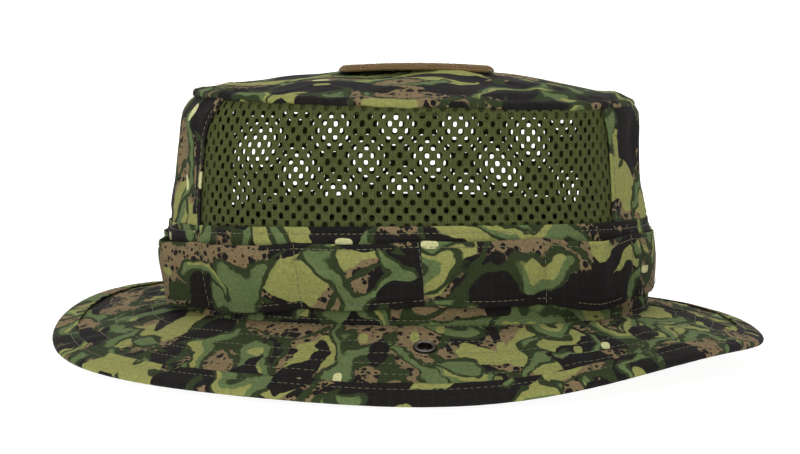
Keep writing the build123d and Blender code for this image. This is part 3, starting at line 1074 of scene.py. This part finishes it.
def top_panel():
    """The domed top, whose edge rolls down over the side panels."""
    t, a, _ = crown_ring(2.0 * MM, SEAM_HEIGHT)
    seam = crown(t, SEAM_HEIGHT + 0 * t)[..., :2] - (TOP_MIDDLE, 0)
    inner = (1 - np.linspace(0, 1, 46) ** 1.15 * 0.985)[1:]
    # The rolled edge, from underneath: mm out from the seam, and mm down from the dome
    roll = np.array([0.1, 0.7, 1.15, 1.25, 0.95, 0.35])
    drop = np.array([1.9, 1.8, 1.25, 0.5, -0.1, -0.45])
    share = np.concatenate([0 * roll + 1, inner])
    lip_out = np.concatenate([roll, 0 * inner]) * MM
    lip_down = np.concatenate([drop, -0.55 * bump_at(inner, 1, 0.03)]) * MM
    gather = TOP_PUCKER(a, 0 * a)
    fine = ripple(63, 0.0055)(a, 0 * a)
    lip_out = lip_out + (0.16 * gather + 0.13 * fine) * MM * bump_at(share, 1, 0.03)
    x = TOP_MIDDLE + seam[..., 0] * share + lip_out * np.cos(t)
    y = seam[..., 1] * share + lip_out * np.sin(t)
    pulled = bump_at(1 - share, 0.05, 0.055) * 0.5 + bump_at(share, 1, 0.02) * 0.22
    dents = TOP_DENT(x, y) * 0.8 * smooth_step((1 - share) / 0.12)
    z = dome(x, y) - lip_down + (gather * pulled + dents) * MM
    P = points(x, y, z)
    # The cloth's own distance from the middle, so that the print isn't drawn out over the roll
    steps = np.linalg.norm(np.diff(P[:, ::-1], axis=1), axis=-1)
    steps = np.concatenate([1.5 * MM + 0 * steps[:, :1], steps], axis=1)
    reach = np.cumsum(steps, axis=1)[:, ::-1]
    UV = reach[..., None] * unit(points(x - TOP_MIDDLE, y))
    P = settle(P, (share > 0.965) | (share < 0.25), spare=0.012, wrap=True)
    ob = shell("crown_top_cloth", P, UV, CLOTH, wrap=True)
    return dress(ob, CAMO_TOP, ["crown_top_panel"])


def band_top(t):
    """Height of the base band's upper edge."""
    return (40.5 + 1.5 * np.cos(t) + 3.5 * np.sin(t) ** 2) * MM


BAND_WAVE = ripple(71, 0.028)
BAND_PULL = ripple(72, 0.06)


def base_band_at(t, h, arc):
    """The base band's middle surface."""
    top = band_top(t)
    fold = 0.55 * bump_at(h, 0.9 * MM, 1.0 * MM)
    dips = 0.3 * bump_at(h, 2.7 * MM, 0.8 * MM) + 0.3 * bump_at(h, top - 2.8 * MM, 0.8 * MM)
    wave = BAND_WAVE(arc, h * 0.7) * 0.22 * smooth_step((h - 2.5 * MM) / (5 * MM))
    # Creases that fan up from each column of the foliage band's stitches
    _, length, start = foliage_arcs()
    pitch = length[-1] / LOOPS
    past = (arc - start + pitch / 2) % pitch - pitch / 2
    rise = np.clip(h - 27 * MM, 0, 1)
    fan = np.cos(TURN * (past - 0.2 * rise) / (6.5 * MM + 0.5 * rise)) * bump_at(past, 0, 10 * MM)
    fade = smooth_step((h - 27 * MM) / (6 * MM)) * smooth_step((top - h) / (5 * MM))
    pull = fan * fade * (0.42 + 0.25 * BAND_PULL(arc, h))
    return crown(t, h, BAND_OUT + (fold - dips + wave + pull) * MM)


def base_band():
    t, a, around = crown_ring(1.5 * MM, 20 * MM)
    top = band_top(t)
    low = np.broadcast_to(np.linspace(0.7, 5, 9) * MM, (len(t), 9))
    middle = 5.6 * MM + np.linspace(0, 1, 12) * (top - 11 * MM)
    high = top - np.linspace(4.6, 0, 9) * MM
    h = np.concatenate([low, middle, high], axis=1)
    P = base_band_at(t, h, a)
    ob = shell("base_band_cloth", P, points(a, h), BAND_CLOTH, wrap=True, around=around)
    return dress(ob, CAMO_BAND, ["base_band"])


FOLIAGE_CLOTH = 0.9 * MM
FOLIAGE_HIGH = 28.8 * MM
FOLIAGE_ROWS = (2.6 * MM, 26.4 * MM)  # its stitch rows, up from its lower edge
LOOP_PITCH = 53.5 * MM
FOLIAGE_TOUCH = BAND_OUT + (BAND_CLOTH + FOLIAGE_CLOTH) / 2 + 0.1 * MM
# How far each loop stands off in mm, how far its lower edge hangs, and how far it is gathered
# up, from the middle of the right side and forwards round the hat
LOOP_STAND = (2.4, 3.2, 1.8, 6.4, 3.8, 3.2, 3.0, 3.6, 6.4, 7.2, 3.6, 2.2)
LOOP_SAG = (0.6, 3.4, 1.2, 0.2, 1.0, 0.8, 0.6, 0.9, 0.3, 0.8, 1.5, 1.0)
LOOP_LIFT = (0.0, 0.0, 0.4, 5.4, 1.0, 0.0, 0.0, 1.0, 3.2, 0.8, 0.0, 0.0)
FOLIAGE_WAVE = ripple(81, 0.05)
FOLIAGE_CREASE = ripple(82, 0.016)
FOLIAGE_GATHER = ripple(83, 0.0065)


def foliage_arcs():
    """Angles round the foliage band from its first column of stitches, with arc lengths."""
    fine, length = crown_arc(0, TURN, 0.5 * MM, 20 * MM)
    start = np.interp(-math.pi / 2 + LOOP_START / FOOT_X + TURN, fine, length)
    return fine, length, start


def foliage_at(loop, up):
    """A point of the foliage band: loop counts loops from the first column, up runs 0 to 1."""
    fine, length, start = foliage_arcs()
    at = (start + loop / LOOPS * length[-1]) % length[-1]
    t = np.interp(at, length, fine)
    phase = loop % 1.0
    number = np.floor(loop).astype(int) % LOOPS
    stand, sag, lift = (np.array(share)[number] for share in (LOOP_STAND, LOOP_SAG, LOOP_LIFT))
    lift = lift * np.sin(math.pi * phase) ** 0.6
    bow = ((1 - np.cos(TURN * phase)) / 2) ** 0.7
    # Its edges in mm: the band is tilted, highest at the sides, and its front runs narrow
    level = 2.75 * np.cos(t) + 4.0 * np.sin(t) ** 2
    narrow = 4.4 * np.clip(np.cos(t), 0, 1) ** 14
    low = 5.25 + level - sag * np.sin(math.pi * phase) ** 1.5 + lift + narrow
    high = 34.05 + level - 0.55 * sag * np.sin(math.pi * phase) + 0.4 * lift
    h = (low + up * (high - low)) * MM
    tip = 1.12 - 0.4 * up + 0.10 * FOLIAGE_WAVE(at, h)
    rows = sum(bump_at(up * FOLIAGE_HIGH, row, 0.9 * MM) for row in FOLIAGE_ROWS)
    # Nearness to the columns of stitches at the loop's ends: right at them, and within 9 mm
    wide = 52.0
    column = 0.35 * sum(bump_at(phase * wide, end, 1.6) for end in (0, wide))
    gather = sum(bump_at(phase * wide, end, 9) for end in (0, wide))
    wave = FOLIAGE_CREASE(at, h * 0.5) * 0.3 * np.sin(math.pi * phase)
    wave = wave + FOLIAGE_GATHER(at, h * 0.25) * 0.34 * gather * (1 - column * 2.8)
    dimples = 0.22 * rows * (1 - column) + 0.6 * column
    out = FOLIAGE_TOUCH + (stand * bow * tip - dimples + wave + 0.25) * MM
    return crown(t, h, out), t, at, h


def foliage_band():
    steps = 30
    loop = (np.arange(LOOPS * steps) / steps)[:, None]
    edges = np.linspace(0, 0.16, 7), np.linspace(0.85, 1, 7)
    up = np.concatenate([edges[0], np.linspace(0.2, 0.82, 10), edges[1]])
    P = foliage_at(loop, up[None, :])[0]
    phase = loop % 1.0
    sewn = (phase < 0.06) | (phase > 0.94)
    P = settle(P, sewn, spare=0.006, wrap=True, gravity=0.5, cap=0.9 * MM)
    UV = points(loop * LOOP_PITCH, up[None, :] * FOLIAGE_HIGH)
    ob = shell("foliage_band_cloth", P, UV, FOLIAGE_CLOTH, wrap=True, around=LOOP_PITCH * LOOPS)
    return dress(ob, CAMO_FOLIAGE, ["foliage_band"])


def sweatband():
    t, a, around = crown_ring(3 * MM, 15 * MM)
    h = np.linspace(-1.2, 31.5, 20)[None, :] * MM
    wave = ripple(91, 0.03)(a, h) * 0.3 * MM * smooth_step((h - 3 * MM) / (9 * MM))
    P = crown(t, h, -2.0 * MM + wave)
    ob = shell("sweatband_cloth", P, points(a, h), 1.3 * MM, wrap=True, around=around)
    return dress(ob, SWEATBAND, ["sweatband"])


def top_tape():
    """The tape inside the top seam, half on the wall and half under the top panel."""
    t, a, around = crown_ring(3 * MM, 90 * MM)
    along = np.linspace(-4.6, 4.6, 12)[None, :] * MM
    down = np.maximum(-along, 0) + 0.9 * MM
    inward = np.maximum(along, 0) + 1.6 * MM
    P = crown(t, seam_height(t) - down, -inward)
    # Its inner half climbs with the dome
    P[..., 2] += np.maximum(along, 0) * 0.22
    ob = shell("top_seam_tape_cloth", P, points(a, along), 0.6 * MM, wrap=True, around=around)
    return dress(ob, TAPE, ["top_seam_tape"])


def side_tape(front, side):
    """The tape inside the seam between an end panel and the mesh."""
    name = f"{front_rear(front)}_{left_right(side)}_seam_tape"
    line = front_seam if front else rear_seam
    h = np.linspace(33, 85, 30)[:, None] * MM
    across = np.linspace(-4, 4, 6)[None, :] * MM / FOOT_Y * 0.9
    P = crown(side * (seam_angle(h, line) + across), h + 0 * across, -1.35 * MM)
    ob = shell(name + "_cloth", P, points(across * FOOT_Y, h), 0.5 * MM)
    return dress(ob, TAPE, [name])


PATCH_LOW, PATCH_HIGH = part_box("loop_patch")
PATCH_HALF = ((PATCH_HIGH.x - PATCH_LOW.x) / 2, (PATCH_HIGH.y - PATCH_LOW.y) / 2)
PATCH_X = (PATCH_HIGH.x + PATCH_LOW.x) / 2
PATCH_CORNER = 7 * MM
PATCH_BASE = 1.3 * MM
YARN_RADIUS = 0.13 * MM


def patch_edge(turn):
    """The patch's outline, a rectangle with round corners, about its middle."""
    a, b = PATCH_HALF[0] - PATCH_CORNER, PATCH_HALF[1] - PATCH_CORNER
    corners = ((a, b, 0), (-a, b, 1), (-a, -b, 2), (a, -b, 3))
    arcs = []
    for x, y, quarter in corners:
        angle = (np.linspace(0, 1, 12) + quarter) * math.pi / 2
        arcs.append(points(x + PATCH_CORNER * np.cos(angle), y + PATCH_CORNER * np.sin(angle)))
    outline = np.concatenate([*arcs, arcs[0][:1]])
    length = lengths(outline)
    return points_along(outline, length, turn * length[-1])


def on_dome(x, y, lift):
    return points(x, y, dome(x, y) + CLOTH / 2 + lift)


def loop_patch():
    turn = np.arange(220) / 220
    edge = patch_edge(turn)
    share = 1 - np.linspace(0, 1, 26) ** 0.9 * 0.985
    x = PATCH_X + edge[:, 0:1] * share
    y = edge[:, 1:2] * share
    fuzz = rng.normal(0, 0.07 * MM, x.shape)
    P = on_dome(x, y, PATCH_BASE / 2 + 0.1 * MM + fuzz)
    ob = shell("loop_patch_base", P, P[..., :2], PATCH_BASE, wrap=True, bulge=0.45)
    cut = dict(flat=(2 * PATCH_HALF[0], 2 * PATCH_HALF[1]), held="laid")
    cut["rests_on"] = ["crown_top_cloth"]
    return dress(ob, LOOP_TAPE, ["loop_patch"])


def patch_loops(count=3400):
    """The fastener's soft side: thousands of small yarn loops that lean every way."""
    r = np.random.default_rng(101)
    x = r.uniform(-1, 1, count) * (PATCH_HALF[0] - 0.7 * MM)
    y = r.uniform(-1, 1, count) * (PATCH_HALF[1] - 0.7 * MM)
    past = [np.maximum(np.abs(v) - half + PATCH_CORNER, 0) for v, half in zip((x, y), PATCH_HALF)]
    keep = np.hypot(*past) < PATCH_CORNER - 0.6 * MM
    x, y = x[keep], y[keep]
    count = len(x)
    heading = r.uniform(0, TURN, count)
    wide = r.uniform(0.45, 0.8, count) * MM
    tall = r.uniform(0.45, 1.0, count) * MM
    lean = r.normal(0, 0.35, count) * MM
    rings, sides = 7, 4
    bend = np.linspace(0, math.pi, rings)
    along = np.cos(bend)[None, :] * wide[:, None]
    rise = np.sin(bend)[None, :] * tall[:, None]
    tip = np.sin(bend)[None, :] * lean[:, None]
    cx = PATCH_X + x[:, None] + along * np.cos(heading)[:, None] - tip * np.sin(heading)[:, None]
    cy = y[:, None] + along * np.sin(heading)[:, None] + tip * np.cos(heading)[:, None]
    C = on_dome(cx, cy, PATCH_BASE - 0.05 * MM + rise)
    T = unit(np.gradient(C, axis=1))
    B = unit(np.cross(T, np.array([0.0, 0.0, 1.0]) + 0 * T))
    M = np.cross(B, T)
    ring = np.arange(sides) * TURN / sides
    circle = M[:, :, None] * np.sin(ring)[:, None] + B[:, :, None] * np.cos(ring)[:, None]
    V = C[:, :, None] + YARN_RADIUS * circle
    ob = tubes("loop_patch_yarn", V.reshape(-1, 3), rings, sides)
    return dress(ob, LOOP_YARN)


# ------------------------------------------------------------------ thread
def brim_thread(side, up):
    """The rows of stitches that quilt one half of the brim, on one face."""
    t = half_angles(side)
    width = brim_width(t)
    runs = []
    for d in ROWS:
        P, N = ply_at(t, d + 0 * width, up, CLOTH / 2)
        far = eyelet_gap(P[:, 0]) > THREAD_STOP
        cuts = np.flatnonzero(np.diff(far.astype(int))) + 1
        for piece in np.split(np.arange(len(t)), cuts):
            if far[piece[0]] and len(piece) > 2:
                runs.append((P[piece, 0], N[piece, 0]))
    P, N = brim_at(t, width - STRIP_ROW)
    runs.append((P[:, 0] + up * N[:, 0] * 1.72 * MM, up * N[:, 0]))
    for end, inside in ((t[0, 0], 1), (t[-1, 0], -1)):
        d = np.linspace(3 * MM, brim_width(end) - STRIP - 1 * MM, 30)
        step = inside * side * 2.2 * MM / (FOOT_X + d)
        P, N = ply_at(end + step, d, up, CLOTH / 2)
        runs.append((P, N))
    name = f"brim_thread_{top_under(up)}_{left_right(side)}"
    return dress(stitches(name, runs), THREAD)


def crown_thread():
    """Stitches of the base band, and of the end panels' edges."""
    t, arc = crown_arc(0, TURN, 2 * MM, 20 * MM)
    runs = []
    for h in (2.7 * MM + 0 * t, band_top(t) - 2.8 * MM):
        runs.append(off_wall(base_band_at(t, h, arc), t, BAND_CLOTH / 2))
    for front in (True, False):
        for side in (1, -1):
            up = np.linspace(0.47, 0.985, 34)
            line = front_seam if front else rear_seam
            span = seam_angle(up * SEAM_HEIGHT, line)
            span = span if front else math.pi - span
            share = side * (1 - 2.6 * MM / (FOOT_Y * span * 1.08))
            P, angle, _, _ = end_panel_at(share, up, front)
            runs.append(off_wall(P, angle, CLOTH / 2))
    return dress(stitches("crown_thread", runs), THREAD)


def foliage_thread():
    """Stitches along both edges of the foliage band, and its twelve columns."""
    runs = []
    loop = np.linspace(0, LOOPS, LOOPS * 30)
    for row in FOLIAGE_ROWS:
        P, t, _, _ = foliage_at(loop, row / FOLIAGE_HIGH + 0 * loop)
        runs.append(off_wall(P, t, FOLIAGE_CLOTH / 2))
    for column in range(LOOPS):
        up = np.linspace(-0.02, 1.0, 24)
        slant = 0.045 * (up - 0.5) * (1 if column % 3 == 0 else 0.3)
        P, t, at, h = foliage_at(column + LOOPS - slant, np.clip(up, 0, 1))
        runs.append(off_wall(P, t, FOLIAGE_CLOTH / 2 + 0.12 * MM))
        # The same column goes on up the base band
        above = h[-1] + np.linspace(0.8, 6, 6) * MM
        t_up = t[-1] + 0.004 * np.linspace(0, 1, 6)
        P = base_band_at(t_up, above, at[-1] + 0 * t_up)
        runs.append(off_wall(P, t_up, BAND_CLOTH / 2))
    return dress(stitches("foliage_thread", runs), THREAD)


def patch_thread():
    turn = np.arange(241) / 240
    edge = patch_edge(turn) * (1 - 2.0 * MM / np.array(PATCH_HALF))
    P = on_dome(PATCH_X + edge[:, 0], edge[:, 1], PATCH_BASE + 0.35 * MM)
    up = np.zeros_like(P) + np.array([0.0, 0.0, 1.0])
    return dress(stitches("loop_patch_thread", [(P, up)], radius=0.28 * MM), LOOP_YARN)


def sweatband_thread():
    t, _ = crown_arc(0, TURN, 2 * MM, 15 * MM)
    runs = []
    for h in (1.2, 29.6):
        P, outward = off_wall(crown(t, h * MM + 0 * t, -2.7 * MM), t, 0)
        runs.append((P, -outward))
    return dress(stitches("sweatband_thread", runs), THREAD)


# ------------------------------------------------------------------ build
for side in (1, -1):
    brim_ply(side, 1)
    brim_ply(side, -1)
    brim_stiffener(side)
    brim_thread(side, 1)
    brim_thread(side, -1)
    mesh_panel(side)
    for front in (True, False):
        side_tape(front, side)
rim_strip()
for front in (True, False):
    end_panel(front)
top_panel()
base_band()
foliage_band()
sweatband()
top_tape()
loop_patch()
patch_loops()
crown_thread()
foliage_thread()
patch_thread()
sweatband_thread()
for mount in EYELETS:
    eyelet(mount)
for name in ("eyelet_washer_left", "eyelet_washer_right"):
    paint(frame["nodes"][name], GUNMETAL)


# ------------------------------------------------------------------ studio
def area_light(name, place, aim, size, power):
    data = bpy.data.lights.new(name, "AREA")
    data.shape = "RECTANGLE"
    data.size, data.size_y = size
    data.energy = power
    ob = linked(name, data)
    ob.location = place
    direction = Vector(aim) - Vector(place)
    ob.rotation_euler = direction.to_track_quat("-Z", "Y").to_euler()


def floor_sheet():
    """A pale floor that curves up far behind the hat."""
    profile = [(-3.0, 0.0), (1.4, 0.0)]
    for k in range(1, 13):
        angle = k / 12 * math.pi / 2
        profile.append((1.4 + 1.2 * math.sin(angle), 1.2 - 1.2 * math.cos(angle)))
    profile.append((2.6, 4.0))
    xs = (-4.0, 4.0)
    verts = [(x, y, z - 0.0003) for y, z in profile for x in xs]
    faces = [(2 * i, 2 * i + 1, 2 * i + 3, 2 * i + 2) for i in range(len(profile) - 1)]
    ob = new_object("studio_floor", verts, faces)
    mat, n, bsdf = shader("pale paper")
    where = n.in_space()
    tone = n.noise(where, 3.0, detail=2.0)
    paper = n.mix(tone, (0.28, 0.28, 0.28, 1), (0.32, 0.32, 0.32, 1))
    # A light table: it glows all round the hat, and only faintly under its crown
    shares = [n.maths("DIVIDE", *pair) for pair in zip(n.axes(where), (FOOT_X, FOOT_Y))]
    squares = [n.maths("POWER", share, 2.0) for share in shares]
    far = n.maths("SQRT", n.maths("ADD", *squares))
    glow = n.maths("MULTIPLY_ADD", n.over(far, 1.08, 0.10), 0.80, 0.14)
    n.feed(bsdf, Base_Color=paper, Roughness=0.9)
    n.feed(bsdf, Emission_Color=(1.0, 1.0, 1.0, 1.0), Emission_Strength=glow)
    paint(ob, mat)


def studio():
    world = bpy.data.worlds.new("studio air")
    world.use_nodes = True
    air = world.node_tree.nodes["Background"]
    air.inputs[0].default_value = (1.0, 1.0, 1.0, 1.0)
    air.inputs[1].default_value = 0.4
    bpy.context.scene.world = world
    area_light("top softbox", (0.0, -0.35, 1.6), (0, 0, 0.05), (1.6, 1.2), 11)
    area_light("front softbox", (-0.5, -1.7, 0.75), (0, 0, 0.05), (1.0, 0.8), 11)
    area_light("backdrop light", (0.0, 0.9, 1.5), (0, 2.2, 0.4), (2.2, 0.6), 30)
    floor_sheet()
    bpy.context.scene.view_settings.view_transform = "Standard"
    bpy.context.scene.view_settings.look = "None"


def camera():
    data = bpy.data.cameras.new("camera")
    data.sensor_width = 36.0
    data.lens = 85.9
    ob = linked("camera", data)
    ob.location = (-0.0039, -0.865, FOOT + 0.115)
    aim = Matrix.Rotation(math.radians(84.75), 3, "X") @ Matrix.Rotation(math.radians(0.35), 3, "Z")
    ob.rotation_euler = aim.to_euler()
    bpy.context.scene.camera = ob


studio()
camera()
bpy.context.view_layer.update()
